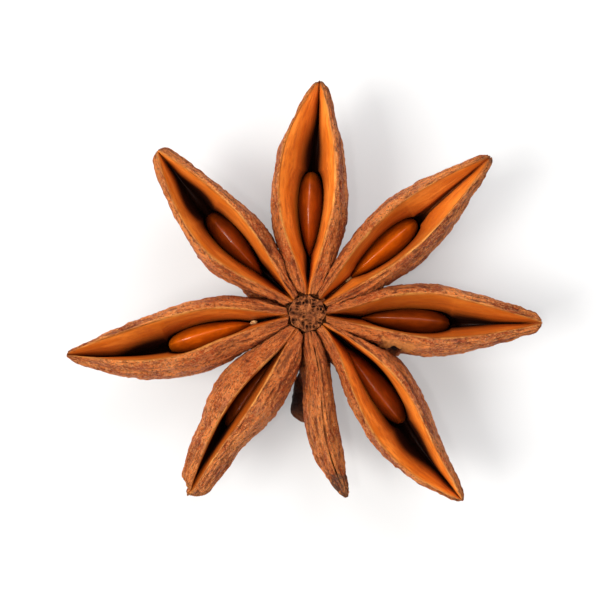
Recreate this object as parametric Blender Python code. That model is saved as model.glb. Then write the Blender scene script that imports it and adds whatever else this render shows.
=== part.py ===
"""Star anise pod: one dried fruit of eight boat-shaped follicles round a short column.

Seven follicles have split open along the seam on top, and each holds one polished seed.
The eighth stayed thin and shut. The fruit is a single woody piece, so the column and its
follicles are joined into one solid, pod, and every loose seed is a solid of its own.

Units are metres and +Z is up. The origin is the middle of the flat stalk scar under the
column, so the XY plane is the surface that the fruit lies on, and +X runs along the east
follicle. Each follicle is drawn in a frame of its own: u runs from 0 on the column's axis
to 1 at the tip, y is to the side, counter-clockwise positive, and z is up.
"""

from collections import namedtuple

import bpy
import numpy as np

MM = 0.001

# One row for each follicle. bearing is in degrees, counter-clockwise from +X, and length
# runs from the axis to the tip. breadth is the full width of the outer wall, widest is the u
# where it has it, and taper is how bluntly it then runs out. mouth is the width of the
# opening. lean is the turn of the mouth to one side in degrees, and twist is what the tip
# adds to it. bow is the sideways bend of the middle, and hook is what bends one half
# further and the other half back. lips is the height of the mouth's edges, and seed is the
# length of the seed. The signed ones are positive counter-clockwise. Lengths are in mm.
Follicle = namedtuple(
    "Follicle",
    "name bearing length breadth widest taper mouth lean twist bow hook lips seed",
)
FOLLICLES = (
    Follicle("east", -2.4, 15.7, 4.75, 0.50, 2.0, 2.90, 7.5, -4.0, -0.18, 0.00, 6.9, 6.1),
    Follicle("north_east", 40.3, 16.0, 4.65, 0.50, 2.0, 2.80, 3.5, 0.0, 0.00, -0.06, 7.0, 6.0),
    Follicle("north", 86.8, 15.5, 5.10, 0.46, 2.0, 3.65, 5.0, 7.0, 0.24, -0.12, 6.8, 5.8),
    Follicle("north_west", 132.6, 14.7, 4.65, 0.47, 2.1, 3.20, 1.0, 0.0, 0.45, 0.07, 7.0, 5.5),
    Follicle("west", 190.1, 16.3, 4.80, 0.49, 2.0, 2.55, -8.5, -8.0, 0.33, -0.18, 6.9, 5.9),
    Follicle("south_west", 237.1, 14.4, 4.30, 0.47, 3.0, 1.15, -1.5, 0.0, -0.33, 0.03, 7.1, 5.5),
    Follicle("south", 282.1, 12.6, 2.05, 0.62, 3.2, 0.00, 13.0, 0.0, -0.47, 0.13, 6.2, 0.0),
    Follicle("south_east", 309.7, 16.2, 4.65, 0.49, 2.0, 3.25, -6.0, 0.0, 0.24, 0.22, 6.9, 6.4),
)

# The column, with the dry cap in the middle of the star and the stalk's stub below.
COLUMN_RADIUS = 1.27 * MM
COLUMN_HEIGHT = 6.3 * MM
SCAR_RADIUS = 1.15 * MM
COLUMN_SIDES = 24

# The outer wall.
ROOT_AT = 0.02  # the u where it starts, inside the column
ROOT_SHARE = 0.12  # breadth there, as a share of the full breadth
TIP_SHARE = 0.09  # breadth at the tip, as such a share
SHOULDER = 0.58  # height of a section's broadest point, from 0 at the keel to 1 at the lip
LIP = 0.22 * MM  # thickness of the wall where it ends at the mouth

# The keel's line below and the lips' line above.
KEEL_AT_COLUMN = 1.0 * MM
KEEL_LOWEST_AT = 0.42
KEEL_AT_TIP = 5.2 * MM
SETTLED = 0.07 * MM  # how much is cut off level below, so that bellies rest on flat spots
LIPS_AT_COLUMN = 6.1 * MM
TIP_DROP = 0.7 * MM  # how much lower the beak is than the lips

# The cavity.
MOUTH_FROM = 0.10
MOUTH_LAG = 0.08  # how much further out the mouth is widest than the wall
CAVITY_TO = 0.965
WAIST = 0.4  # height of the chamber's broadest point, as a share of the cavity's depth
CHAMBER_FROM = 0.24  # the seed's room; a narrow groove runs on from it to the tip
CHAMBER_TO = 0.61
CHAMBER_HALF = 1.12 * MM
KEEL_WALL = 0.85 * MM
GROOVE_WAIST = 0.30  # half breadth of the groove's waist, as a share of the half mouth
GROOVE_DEPTH = 0.55  # depth of the groove, as a share of the section's height

# A seed, a flat bean that stands on edge.
SEED_AT = 6.75 * MM  # distance of its middle from the column's axis
SEED_HEIGHT = 3.6 * MM
SEED_THICKNESS = 1.75 * MM
SEED_MIDDLE = 3.05 * MM  # height of its middle above the ground

# The chip broken out of the east follicle's flank: its middle and its three half sizes.
CHIPPED = "east"
CHIP_AT, CHIP_SIDE, CHIP_HEIGHT = 0.41, -2.65 * MM, 4.9 * MM
CHIP_HALF_SIZES = (1.0 * MM, 0.40 * MM, 0.75 * MM)

# Facets.
STATIONS = 17
WALL_POINTS = 6
CAVITY_POINTS = 5
SEED_RINGS, SEED_SIDES = 9, 12


def eased(x, start, end):
    """0 before start, 1 after end, and a smooth climb between them."""
    t = np.clip((x - start) / (end - start), 0, 1)
    return t * t * (3 - 2 * t)


def swelling(u, start, widest, power):
    """0 at start, growing along a quarter of a sine wave to 1 at widest."""
    t = np.clip((u - start) / (widest - start), 0, 1)
    return np.sin(0.5 * np.pi * t) ** power


def tapering(u, widest, power):
    """1 up to widest, falling to 0 at the tip, more bluntly for a higher power."""
    return 1 - np.clip((u - widest) / (1 - widest), 0, 1) ** power


def half_breadth(f, u):
    swell = ROOT_SHARE + (1 - ROOT_SHARE) * swelling(u, 0, f.widest, 1.2)
    taper = TIP_SHARE + (1 - TIP_SHARE) * tapering(u, f.widest, f.taper)
    return 0.5 * f.breadth * MM * swell * taper


def half_mouth(f, u):
    widest = f.widest + MOUTH_LAG
    return 0.5 * f.mouth * MM * swelling(u, 0.07, widest, 1.4) * tapering(u, widest, 2.0)


def keel_height(u):
    """From a foot at the column down to the belly, then up in a long curve to the beak."""
    foot = KEEL_AT_COLUMN * (1 - eased(u, 0.08, KEEL_LOWEST_AT))
    past = np.clip((u - KEEL_LOWEST_AT) / (1 - KEEL_LOWEST_AT), 0, 1)
    return foot + KEEL_AT_TIP * past**1.8 - SETTLED


def lip_height(f, u):
    rising = LIPS_AT_COLUMN + (f.lips * MM - LIPS_AT_COLUMN) * eased(u, 0.05, 0.45)
    return rising - TIP_DROP * np.clip((u - 0.5) / 0.5, 0, 1) ** 2


def wall_half(f, u, share):
    """Half breadth of the outer wall at a share of its height, 0 at the keel, 1 at the lip.

    A rounded keel swells to the full breadth at the shoulder, and the wall then draws in
    with the square of the height to the outer edge of the lip.
    """
    full = half_breadth(f, u)
    lip = np.minimum(half_mouth(f, u) + LIP, 0.97 * full)
    below = full * (1 - (1 - np.clip(share / SHOULDER, 0, 1)) ** 2) ** 0.6
    above = np.clip((share - SHOULDER) / (1 - SHOULDER), 0, 1) ** 2
    return below + (lip - full) * above


def cavity_half(f, u, share):
    """Half breadth of the cavity at a share of its depth, 0 at its floor, 1 at the lip.

    The chamber round the seed is as wide as the seed needs, and the groove is narrow.
    """
    mouth = half_mouth(f, u) + 0.03 * MM
    groove = GROOVE_WAIST * mouth
    room = eased(u, 0.11, CHAMBER_FROM) * (1 - eased(u, CHAMBER_TO, 0.73))
    waist = groove + (CHAMBER_HALF - groove) * room
    below = waist * np.sqrt(1 - (1 - np.clip(share / WAIST, 0, 1)) ** 2)
    above = np.clip((share - WAIST) / (1 - WAIST), 0, 1) ** 1.3
    return below + (mouth - waist) * above


def cavity_floor(f, u):
    """Deep under the seed, and a shallower groove before and after it."""
    keel, lip = keel_height(u), lip_height(f, u)
    groove = lip - GROOVE_DEPTH * (lip - keel)
    deep = keel + KEEL_WALL
    room = eased(u, 0.10, CHAMBER_FROM - 0.03) * (1 - eased(u, CHAMBER_TO, 0.76))
    return groove + (deep - groove) * room


def placed(f, u, y, z):
    """Points of a follicle: leant about the shoulder, bowed, and turned to its bearing."""
    lean = np.radians(f.lean * eased(u, 0.08, 0.38) + f.twist * eased(u, 0.45, 1.0))
    keel = keel_height(u)
    pivot = keel + SHOULDER * (lip_height(f, u) - keel)
    bend = f.bow * MM * np.sin(np.pi * u) + f.hook * MM * np.sin(2 * np.pi * u)
    across = y * np.cos(lean) + (z - pivot) * np.sin(lean) + bend
    up = pivot + (z - pivot) * np.cos(lean) - y * np.sin(lean)
    along = f.length * MM * u + 0 * across
    turn = np.radians(f.bearing)
    x = along * np.cos(turn) - across * np.sin(turn)
    y = along * np.sin(turn) + across * np.cos(turn)
    return np.stack([x, y, up], axis=-1)


def add_object(name, points, faces, material=None):
    mesh = bpy.data.meshes.new(name)
    mesh.from_pydata([tuple(point) for point in points], [], faces)
    mesh.validate()
    if material:
        mesh.materials.append(material)
    made = bpy.data.objects.new(name, mesh)
    bpy.context.scene.collection.objects.link(made)
    return made


def tube_faces(count, size):
    """Quads between rings of points that run counter-clockwise as seen from the last ring."""
    faces = []
    for here in range(0, (count - 1) * size, size):
        for j in range(size):
            k = (j + 1) % size
            faces.append((here + j, here + k, here + size + k, here + size + j))
    return faces


def loft(name, rings, material=None):
    """A closed solid through the rings, with a flat end on the first and on the last."""
    count, size = rings.shape[:2]
    first = tuple(reversed(range(size)))
    last = tuple(range((count - 1) * size, count * size))
    faces = tube_faces(count, size) + [first, last]
    return add_object(name, rings.reshape(-1, 3), faces, material)


def section_ring(half, height):
    """Down the clockwise side of each section from its lip, then up the other side."""
    y = np.concatenate([-half[:, ::-1], half[:, 1:]], axis=1)
    z = np.concatenate([height[:, ::-1], height[:, 1:]], axis=1)
    return y, z


def follicle_body(f):
    """The follicle's outer shape, filled up to the lips."""
    u = ROOT_AT + (1 - ROOT_AT) * np.linspace(0, 1, STATIONS)[:, None]
    share = np.linspace(0, 1, WALL_POINTS + 1)[None, :] ** 1.5
    height = keel_height(u) + (lip_height(f, u) - keel_height(u)) * share
    y, z = section_ring(wall_half(f, u, share), height)
    return loft(f"body_{f.name}", placed(f, u, y, z))


def follicle_cavity(f):
    """The hollow of an open follicle, carried on a little above the lips."""
    u = MOUTH_FROM + (CAVITY_TO - MOUTH_FROM) * np.linspace(0, 1, STATIONS)[:, None]
    share = np.linspace(0, 1, CAVITY_POINTS + 1)[None, :] ** 1.3
    floor, lip = cavity_floor(f, u), lip_height(f, u)
    half = cavity_half(f, u, share)
    height = floor + (lip - floor) * share
    half = np.concatenate([half, half[:, -1:] + 0.05 * MM], axis=1)
    height = np.concatenate([height, height[:, -1:] + 0.8 * MM], axis=1)
    y, z = section_ring(half, height)
    return loft(f"cavity_{f.name}", placed(f, u, y, z))


def follicle_chip(f):
    """A shallow scoop, as a flattened ball that reaches in from outside the flank."""
    angle = np.linspace(0, 2 * np.pi, 9)[:-1][None, :]
    tilt = np.radians((-70, -30, 0, 35, 70))[:, None]
    along, across, up = CHIP_HALF_SIZES
    u = CHIP_AT + along * np.sin(tilt) / (f.length * MM) + 0 * angle
    y = CHIP_SIDE - across * np.cos(tilt) * np.sin(angle)
    z = CHIP_HEIGHT + up * np.cos(tilt) * np.cos(angle)
    return loft(f"chip_{f.name}", placed(f, u, y, z))


def seed(f, material):
    """A flattened bean, slimmer at the end towards the column, where it was attached."""
    t = np.linspace(0, 1, SEED_RINGS + 1)[1:-1, None]
    along = -np.cos(np.pi * t)
    girth = np.sin(np.pi * t) ** 0.85 * (1 + 0.10 * along)
    angle = 2 * np.pi * np.arange(SEED_SIDES)[None, :] / SEED_SIDES
    y = 0.5 * SEED_THICKNESS * girth * np.cos(angle)
    z = SEED_MIDDLE + 0.5 * SEED_HEIGHT * girth * np.sin(angle)
    middle, reach = SEED_AT / (f.length * MM), 0.5 * f.seed / f.length
    rings = placed(f, middle + reach * along + 0 * y, y, z)
    ends = placed(f, middle + reach * np.array([-1.0, 1.0]), 0, SEED_MIDDLE)
    points = np.concatenate([rings.reshape(-1, 3), ends])
    near, far = len(points) - 2, len(points) - 1
    last = (SEED_RINGS - 2) * SEED_SIDES
    faces = tube_faces(SEED_RINGS - 1, SEED_SIDES)
    for j in range(SEED_SIDES):
        k = (j + 1) % SEED_SIDES
        faces += [(near, k, j), (far, last + j, last + k)]
    made = add_object(f"seed_{f.name}", points, faces, material)
    made.data.shade_smooth()
    return made


def column(material):
    """The turned core: the stalk's stub below, a low dry dome above."""
    profile = (
        (SCAR_RADIUS, -SETTLED),
        (COLUMN_RADIUS, 0.3 * MM),
        (COLUMN_RADIUS, COLUMN_HEIGHT - 0.35 * MM),
        (0.8 * COLUMN_RADIUS, COLUMN_HEIGHT - 0.05 * MM),
        (0.4 * COLUMN_RADIUS, COLUMN_HEIGHT),
    )
    angle = 2 * np.pi * np.arange(COLUMN_SIDES) / COLUMN_SIDES
    rings = [
        np.stack([radius * np.cos(angle), radius * np.sin(angle), 0 * angle + z], axis=1)
        for radius, z in profile
    ]
    return loft("pod", np.array(rings), material)


def ground():
    """A block whose top is the level that the fruit rests on."""
    half, depth = 20 * MM, 2 * MM
    corners = np.array([(-half, -half), (half, -half), (half, half), (-half, half)])
    rings = [np.insert(corners, 2, z, axis=1) for z in (-depth, 0.0)]
    return loft("ground", np.array(rings))


def combine(target, operation, pieces):
    """A Boolean with helper pieces, which stay out of the render in a collection."""
    collection = bpy.data.collections.new(f"{target.name}_{operation.lower()}")
    bpy.context.scene.collection.children.link(collection)
    for piece in pieces:
        bpy.context.scene.collection.objects.unlink(piece)
        collection.objects.link(piece)
        piece.hide_render = True
        piece.display_type = "WIRE"
    modifier = target.modifiers.new(operation.title(), "BOOLEAN")
    modifier.operation = operation
    modifier.solver = "EXACT"
    modifier.operand_type = "COLLECTION"
    modifier.collection = collection


def finish(name, colour, roughness):
    made = bpy.data.materials.new(name)
    made.use_nodes = True
    shader = made.node_tree.nodes["Principled BSDF"]
    shader.inputs["Base Color"].default_value = (*colour, 1.0)
    shader.inputs["Roughness"].default_value = roughness
    shader.inputs["Metallic"].default_value = 0.0
    return made


def main():
    for item in list(bpy.data.objects):
        bpy.data.objects.remove(item, do_unlink=True)
    woody = finish("pericarp", (0.36, 0.13, 0.045), 0.75)
    polished = finish("seed_coat", (0.24, 0.055, 0.008), 0.22)
    opened = [f for f in FOLLICLES if f.mouth]
    chipped = [f for f in FOLLICLES if f.name == CHIPPED]
    pod = column(woody)
    combine(pod, "UNION", [follicle_body(f) for f in FOLLICLES])
    hollows = [follicle_cavity(f) for f in opened]
    chips = [follicle_chip(f) for f in chipped]
    combine(pod, "DIFFERENCE", hollows + chips + [ground()])
    for f in opened:
        seed(f, polished)


main()
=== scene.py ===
# %% [markdown]
# # A star anise pod
# A dried fruit of eight woody follicles round a short column, lying open side up. Seven
# have split along the top and show one polished seed each, and the eighth stayed shut.
#
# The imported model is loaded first. It says where every tip and every seed is, so the fine
# surfaces below are drawn over it. Lengths in this file are in millimetres, and they are
# turned into metres when a mesh is made.

# %% The frame
from collections import namedtuple

import bpy
import numpy as np
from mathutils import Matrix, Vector


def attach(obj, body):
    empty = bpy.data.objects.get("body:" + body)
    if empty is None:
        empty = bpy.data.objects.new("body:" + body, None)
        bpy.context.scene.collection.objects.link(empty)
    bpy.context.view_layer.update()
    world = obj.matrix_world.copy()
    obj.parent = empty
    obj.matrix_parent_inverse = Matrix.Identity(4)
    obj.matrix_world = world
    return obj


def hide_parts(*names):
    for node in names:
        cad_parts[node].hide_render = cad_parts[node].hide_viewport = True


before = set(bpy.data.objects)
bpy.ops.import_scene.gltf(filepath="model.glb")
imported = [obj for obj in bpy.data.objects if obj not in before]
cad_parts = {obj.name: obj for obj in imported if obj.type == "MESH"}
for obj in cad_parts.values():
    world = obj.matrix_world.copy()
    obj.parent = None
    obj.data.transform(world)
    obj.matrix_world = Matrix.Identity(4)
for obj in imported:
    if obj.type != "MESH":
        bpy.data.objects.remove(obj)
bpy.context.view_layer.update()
MM = 0.001

# %% [markdown]
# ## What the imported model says
# A follicle's tip is the point of the pod that lies furthest out near that compass
# direction. It gives the follicle's bearing and its length. A seed's place and its three
# axes come from its own solid: the long axis is the one its points are spread along most.

# %% Read the tips and the seeds
COMPASS = ("east", "north_east", "north", "north_west", "west", "south_west", "south", "south_east")
Tip = namedtuple("Tip", "bearing length")
SeedPlace = namedtuple("SeedPlace", "middle axes halves")


def node_points(name):
    """Every vertex of a CAD node, in millimetres."""
    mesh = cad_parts[name].data
    points = np.empty(len(mesh.vertices) * 3)
    mesh.vertices.foreach_get("co", points)
    return points.reshape(-1, 3) / MM


def measured_tip(points, direction):
    """The middle of the blunt end that lies furthest out near a compass direction."""
    bearing = np.degrees(np.arctan2(points[:, 1], points[:, 0]))
    near = np.abs((bearing - direction + 180) % 360 - 180) < 20
    reach = np.hypot(points[:, 0], points[:, 1]) * near
    end = points[reach > reach.max() - 0.03].mean(axis=0)
    return Tip(np.degrees(np.arctan2(end[1], end[0])), reach.max())


def measured_seed(points):
    """Middle, axes and half sizes. The long axis points outwards and the high one up."""
    spread = np.linalg.eigh(np.cov((points - points.mean(axis=0)).T))[1]
    long, high = spread[:, 2], spread[:, 1]
    long = long * np.sign(long @ points.mean(axis=0))
    high = high * np.sign(high[2])
    axes = np.stack([long, np.cross(high, long), high])
    along = points @ axes.T
    middle = 0.5 * (along.max(axis=0) + along.min(axis=0))
    return SeedPlace(middle @ axes, axes, 0.5 * np.ptp(along, axis=0))


pod_points = node_points("pod")
TIPS = {name: measured_tip(pod_points, 45 * k) for k, name in enumerate(COMPASS)}
SEEDS = {name: measured_seed(node_points(f"seed_{name}"))
         for name in COMPASS if f"seed_{name}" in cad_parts}
for name, tip in TIPS.items():
    print(f"{name}: bearing {tip.bearing:.1f} degrees, length {tip.length:.2f} mm")

# %% [markdown]
# ## The eight follicles in numbers
# No two follicles are alike, so each has a row. A follicle is drawn in a frame of its own:
# x runs out along it, y to its left and z up, and u is x as a share of its length. All the
# rows go through the same functions, which is easier to read and to change than eight
# sculpted meshes.

# %% A row for each follicle
# breadth, at u widest, is the wall's full width. rise is how slowly it gets there, taper how
# bluntly it runs out, and blunt what is left at the tip. mouth is the opening's width, from
# the u called opens, and closing is how bluntly it closes again. lean turns the mouth to one
# side in degrees, and twist is what the tip adds. bow and hook bend the follicle sideways, and
# lips is the height of the lips.
Follicle = namedtuple("Follicle", "name breadth widest rise taper blunt mouth opens closing "
                                  "lean twist bow hook lips")
FOLLICLES = {row[0]: Follicle(*row) for row in (
    ("east", 4.75, 0.51, 1.4, 1.6, 0.23, 2.90, 0.05, 1.25, 7.5, -4.0, -0.18, 0.00, 6.9),
    ("north_east", 4.6, 0.50, 1.2, 1.8, 0.12, 2.80, 0.0, 1.5, 3.5, 0.0, -0.08, -0.04, 7.0),
    ("north", 5.10, 0.46, 1.2, 2.0, 0.11, 3.70, 0.07, 2.0, 5.0, 5.5, 0.22, -0.02, 6.8),
    ("north_west", 4.70, 0.47, 1.7, 1.6, 0.24, 3.20, 0.07, 1.7, 1.0, 0.0, 0.45, -0.04, 7.0),
    ("west", 4.75, 0.49, 1.3, 1.6, 0.11, 2.60, 0.05, 1.5, -8.5, -8.0, 0.33, -0.28, 6.9),
    ("south_west", 4.5, 0.47, 1.1, 1.5, 0.36, 1.24, 0.16, 1.2, -1.5, 0.0, -0.33, 0.12, 7.1),
    ("south", 2.15, 0.64, 0.7, 1.9, 0.14, 0.00, 0.00, 1.0, 4.0, 0.0, -0.50, 0.24, 6.2),
    ("south_east", 4.65, 0.50, 1.5, 1.7, 0.13, 3.30, 0.06, 1.5, -6.0, 0.0, 0.40, 0.42, 6.9),
)}
CAP_RADIUS = 1.16
ROOT_AT = 1.34  # distance from the column's axis where the follicles start
SHOULDER = 0.62  # height of a section's broadest point, from 0 at the keel to 1 at the lip
ROOT_SHOULDER = 0.88  # the same beside the column, where the walls are pressed flat together
LIP = 0.20  # width of a lip
LIPS_AT_COLUMN = 6.1
TIP_DROP = 0.7  # how much lower the lips are at the tip
KEEL_AT_COLUMN, KEEL_AT_TIP, KEEL_LOWEST_AT = 1.0, 5.2, 0.42
SETTLED = 0.07  # how far the bellies are pressed flat on the table
print("rows:", len(FOLLICLES))

# %% [markdown]
# ## Small tools for curves
# Everything about a follicle changes smoothly from the column to the tip: its breadth, the
# height of its keel and lips, the mouth. A few easing curves say all of it, and they work
# on whole arrays at once.

# %% Easing curves


def eased(x, start, end):
    """0 before start, 1 after end, and an S-shaped climb between them."""
    t = np.clip((x - start) / (end - start), 0, 1)
    return t * t * (3 - 2 * t)


def swelling(u, start, widest, power):
    """0 at start, growing along a quarter of a sine wave to 1 at widest."""
    t = np.clip((u - start) / (widest - start), 0, 1)
    return np.sin(0.5 * np.pi * t) ** power


def tapering(u, widest, power):
    """1 up to widest, falling to 0 at the tip, more bluntly for a higher power."""
    return 1 - np.clip((u - widest) / (1 - widest), 0, 1) ** power


def bump(x, middle, half):
    """1 at middle, 0 at half away from it and beyond."""
    return 1 - eased(np.abs(x - middle), 0, half)


def soft_least(a, b, softness):
    """The lesser of two arrays, with the corner between them rounded."""
    return 0.5 * (a + b - np.sqrt((a - b) ** 2 + softness**2))


print("eased:", eased(np.arange(5), 0, 4))

# %% [markdown]
# ## A noise for relief
# Dried skin is lumpy, wrinkled along its length and pitted, and the outline shows it, so the
# relief has to be in the mesh. The noise here gives every corner of a cubic lattice a
# number from a seeded table and blends between corners, so it's the same on every run.

# %% Lattice noise
NUMBERS = np.random.default_rng(7).uniform(-1, 1, 65536)


def noise(points, size, key=0):
    """Smooth values from -1 to 1 that change over about size, one number or three."""
    scaled = points / np.asarray(size, float)
    cell = np.floor(scaled).astype(np.int64)
    part = scaled - cell
    blend = part * part * (3 - 2 * part)
    total = 0
    for corner in np.ndindex(2, 2, 2):
        place = (cell + corner) @ np.array([73856093, 19349663, 83492791]) + key * 7919
        value = NUMBERS[(place ^ (place >> 15)) & 65535]
        total = total + value * np.prod(np.where(corner, blend, 1 - blend), axis=-1)
    return total


def ridges(points, size, key=0):
    """Noise folded into sharp crests: 1 on a crest, and lower between them."""
    return 1 - 4 * np.abs(noise(points, size, key))


sample = noise(np.indices((9, 9, 9)).reshape(3, -1).T * 0.37, 1)
print("noise from", sample.min().round(2), "to", sample.max().round(2))

# %% [markdown]
# ## Closed surfaces from rings
# A husk, a seed and the column are each a stack of closed rings of points. Neighbouring
# rings are joined with quads, and each end is closed with a fan of triangles. Rings run
# counter-clockwise as seen from the last one, so all the faces look outwards. The grid is
# also the piece's UV map.

# %% Rings to a mesh


def closed_grid(rows, ring):
    """Quads between the rings, and the two fans, whose middle points come after the grid."""
    start = np.arange(rows - 1)[:, None] * ring
    here = np.arange(ring)[None, :]
    after = (here + 1) % ring
    quads = np.stack([start + here, start + after, start + ring + after, start + ring + here], -1)
    here, after = here[0], after[0]
    first, last = rows * ring, rows * ring + 1
    far = (rows - 1) * ring
    fans = [np.stack([here * 0 + first, after, here], -1),
            np.stack([here * 0 + last, far + here, far + after], -1)]
    return quads.reshape(-1, 4), np.concatenate(fans)


def grid_map(rows, ring):
    """UV of each face corner: around the ring across, from ring to ring up."""
    row = (np.arange(rows - 1)[:, None] + 1) / (rows + 1) + np.zeros(ring)[None, :]
    here = (np.arange(ring) / ring)[None, :] + np.zeros(rows - 1)[:, None]
    step, high = 1 / ring, 1 / (rows + 1)
    corners = [(here, row), (here + step, row), (here + step, row + high), (here, row + high)]
    quads = np.stack([np.stack(corner, -1) for corner in corners], axis=2).reshape(-1, 2)
    around = np.arange(ring) / ring
    zero, one = 0 * around, 0 * around + 1
    fans = [[(around + step / 2, zero), (around + step, zero + high), (around, zero + high)],
            [(around + step / 2, one), (around, one - high), (around + step, one - high)]]
    triangles = [np.stack([np.stack(corner, -1) for corner in fan], axis=1) for fan in fans]
    return np.concatenate([quads] + [fan.reshape(-1, 2) for fan in triangles])


def new_object(name, data):
    made = bpy.data.objects.new(name, data)
    bpy.context.scene.collection.objects.link(made)
    return made


def make_piece(name, rings, ends, material, marks=None):
    """A smooth-shaded closed mesh from rings, in mm. marks are values stored at the points."""
    rows, ring = rings.shape[:2]
    quads, fans = closed_grid(rows, ring)
    points = np.concatenate([rings.reshape(-1, 3), ends]) * MM
    mesh = bpy.data.meshes.new(name)
    mesh.from_pydata(points, [], quads.tolist() + fans.tolist())
    mesh.uv_layers.new(name="OFBake").data.foreach_set("uv", grid_map(rows, ring).ravel())
    for mark, values in (marks or {}).items():
        vector = values.ndim == 3
        store = mesh.attributes.new(mark, "FLOAT_VECTOR" if vector else "FLOAT", "POINT")
        flat = values.reshape(rows * ring, -1)
        flat = np.concatenate([flat, flat[:ring].mean(0)[None], flat[-ring:].mean(0)[None]])
        store.data.foreach_set("vector" if vector else "value", flat.ravel())
    mesh.shade_smooth()
    mesh.materials.append(material)
    return new_object(name, mesh)


def surface_normals(rings):
    """Unit normals of the grid, from the slopes along it and around it."""
    along = np.gradient(rings, axis=0)
    around = np.roll(rings, -1, axis=1) - np.roll(rings, 1, axis=1)
    normal = np.cross(around, along)
    return normal / np.maximum(np.linalg.norm(normal, axis=-1, keepdims=True), 1e-9)


# %% [markdown]
# ## Node tools
# The finishes are node trees, and a few short functions keep them readable: a node with its
# inputs set, a noise, a ramp, a mix of two colours, and a thin dab of one over another.

# %% Node tools
COLOUR_SOCKETS = (6, 7)  # where a Mix node keeps its two colours


def link_or_set(tree, socket, value):
    if isinstance(value, bpy.types.NodeSocket):
        tree.links.new(value, socket)
    else:
        socket.default_value = value


def add_node(tree, kind, settings=None, **inputs):
    """A node with its inputs set: a socket is linked, and anything else is a value."""
    made = tree.nodes.new(kind)
    for name, value in (settings or {}).items():
        setattr(made, name, value)
    for name, value in inputs.items():
        link_or_set(tree, made.inputs[name.replace("_", " ")], value)
    return made


def mark_value(tree, name, output="Fac"):
    return add_node(tree, "ShaderNodeAttribute", {"attribute_name": name}).outputs[output]


def object_place(tree):
    return add_node(tree, "ShaderNodeTexCoord").outputs["Object"]


def pattern(tree, vector, scale, detail=3.0, roughness=0.6):
    """Noise on the vector times scale in each direction, so a larger scale is finer."""
    vector = add_node(tree, "ShaderNodeMapping", Vector=vector, Scale=scale).outputs["Vector"]
    return add_node(tree, "ShaderNodeTexNoise", Vector=vector, Scale=1.0, Detail=detail,
                    Roughness=roughness).outputs["Fac"]


def between(tree, value, low, high):
    """0 where value is under low, 1 over high, and smooth between them."""
    return add_node(tree, "ShaderNodeMapRange", {"interpolation_type": "SMOOTHSTEP"},
                    Value=value, From_Min=low, From_Max=high).outputs["Result"]


def maths(tree, operation, first, second):
    made = add_node(tree, "ShaderNodeMath", {"operation": operation})
    for socket, value in zip(made.inputs, (first, second)):
        link_or_set(tree, socket, value)
    return made.outputs[0]


def blended(tree, share, first, second):
    """first where share is 0 and second where it is 1, for colours."""
    made = tree.nodes.new("ShaderNodeMix")
    made.data_type = "RGBA"
    link_or_set(tree, made.inputs["Factor"], share)
    for socket, colour in zip(COLOUR_SOCKETS, (first, second)):
        opaque = (*colour, 1.0) if isinstance(colour, tuple) else colour
        link_or_set(tree, made.inputs[socket], opaque)
    return made.outputs[2]


def dabbed(tree, colour, where, share, other):
    """The colour with a share of the other laid over it where the pattern says."""
    return blended(tree, maths(tree, "MULTIPLY", where, share), colour, other)


def new_finish(name, **uniform):
    """A material with its shader's own sockets set. Returns it, its tree and its shader."""
    material = bpy.data.materials.new(name)
    material.use_nodes = True
    shader = material.node_tree.nodes["Principled BSDF"]
    for socket, value in uniform.items():
        shader.inputs[socket.replace("_", " ")].default_value = value
    return material, material.node_tree, shader


def roughened(tree, shader, height, depth):
    """Small relief: height from 0 to 1 stands for depth in millimetres."""
    made = add_node(tree, "ShaderNodeBump", Height=height, Distance=depth * MM, Strength=1.0)
    tree.links.new(made.outputs["Normal"], shader.inputs["Normal"])


# %% [markdown]
# ## The husk's finish
# One piece of husk shows three surfaces. Outside is the dry skin: red-brown, finely ridged
# along its length, with dark cracks and painted shade in its wrinkles, redder near the column
# and with a greyish bloom further out. Inside is the lining, smooth and tan-orange, stained on
# some follicles, and darkened by painted shade down in the hollow, nearly black where it closes
# in beyond the seed. Where they meet, the lip is a thin pale edge, partly its own colour and
# partly a painted highlight. The mesh stores where each begins, and a coordinate called flow
# that follows the grain, so that all the streaks run to the tip. A painted image could do the
# same, but a pattern on flow stays sharp from close by.

# %% Skin and lining colours


def skin_colour(tree, flow):
    """Red-brown grains in slow patches, with grey bloom, scuffs, dark specks and fine cracks."""
    slow = between(tree, pattern(tree, flow, (0.5, 0.8, 0.8), 4.0), 0.38, 0.60)
    colour = blended(tree, slow, (0.50, 0.076, 0.008), (1.00, 0.275, 0.054))
    grain = between(tree, pattern(tree, flow, (5.0, 6.5, 6.5), 5.0, 0.78), 0.49, 0.57)
    colour = dabbed(tree, colour, grain, 0.75, (1.0, 0.410, 0.130))
    outer = mark_value(tree, "weathered")
    bloom = between(tree, pattern(tree, flow, (0.6, 1.5, 1.5), 5.0, 0.78), 0.52, 0.62)
    bloom = maths(tree, "MULTIPLY", bloom, outer)
    colour = dabbed(tree, colour, bloom, 0.55, (0.50, 0.165, 0.085))
    inner = maths(tree, "SUBTRACT", 1.0, outer)
    colour = dabbed(tree, colour, inner, 0.45, (0.62, 0.105, 0.010))
    scuff = between(tree, pattern(tree, flow, (1.1, 2.4, 2.4), 5.0, 0.75), 0.56, 0.63)
    colour = dabbed(tree, colour, scuff, 0.70, (0.25, 0.036, 0.007))
    speck = between(tree, pattern(tree, flow, (5.5, 7.0, 7.0), 5.0, 0.80), 0.55, 0.60)
    colour = dabbed(tree, colour, speck, 0.85, (0.130, 0.020, 0.005))
    return blended(tree, crack_share(tree, flow), colour, (0.080, 0.018, 0.008))


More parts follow.
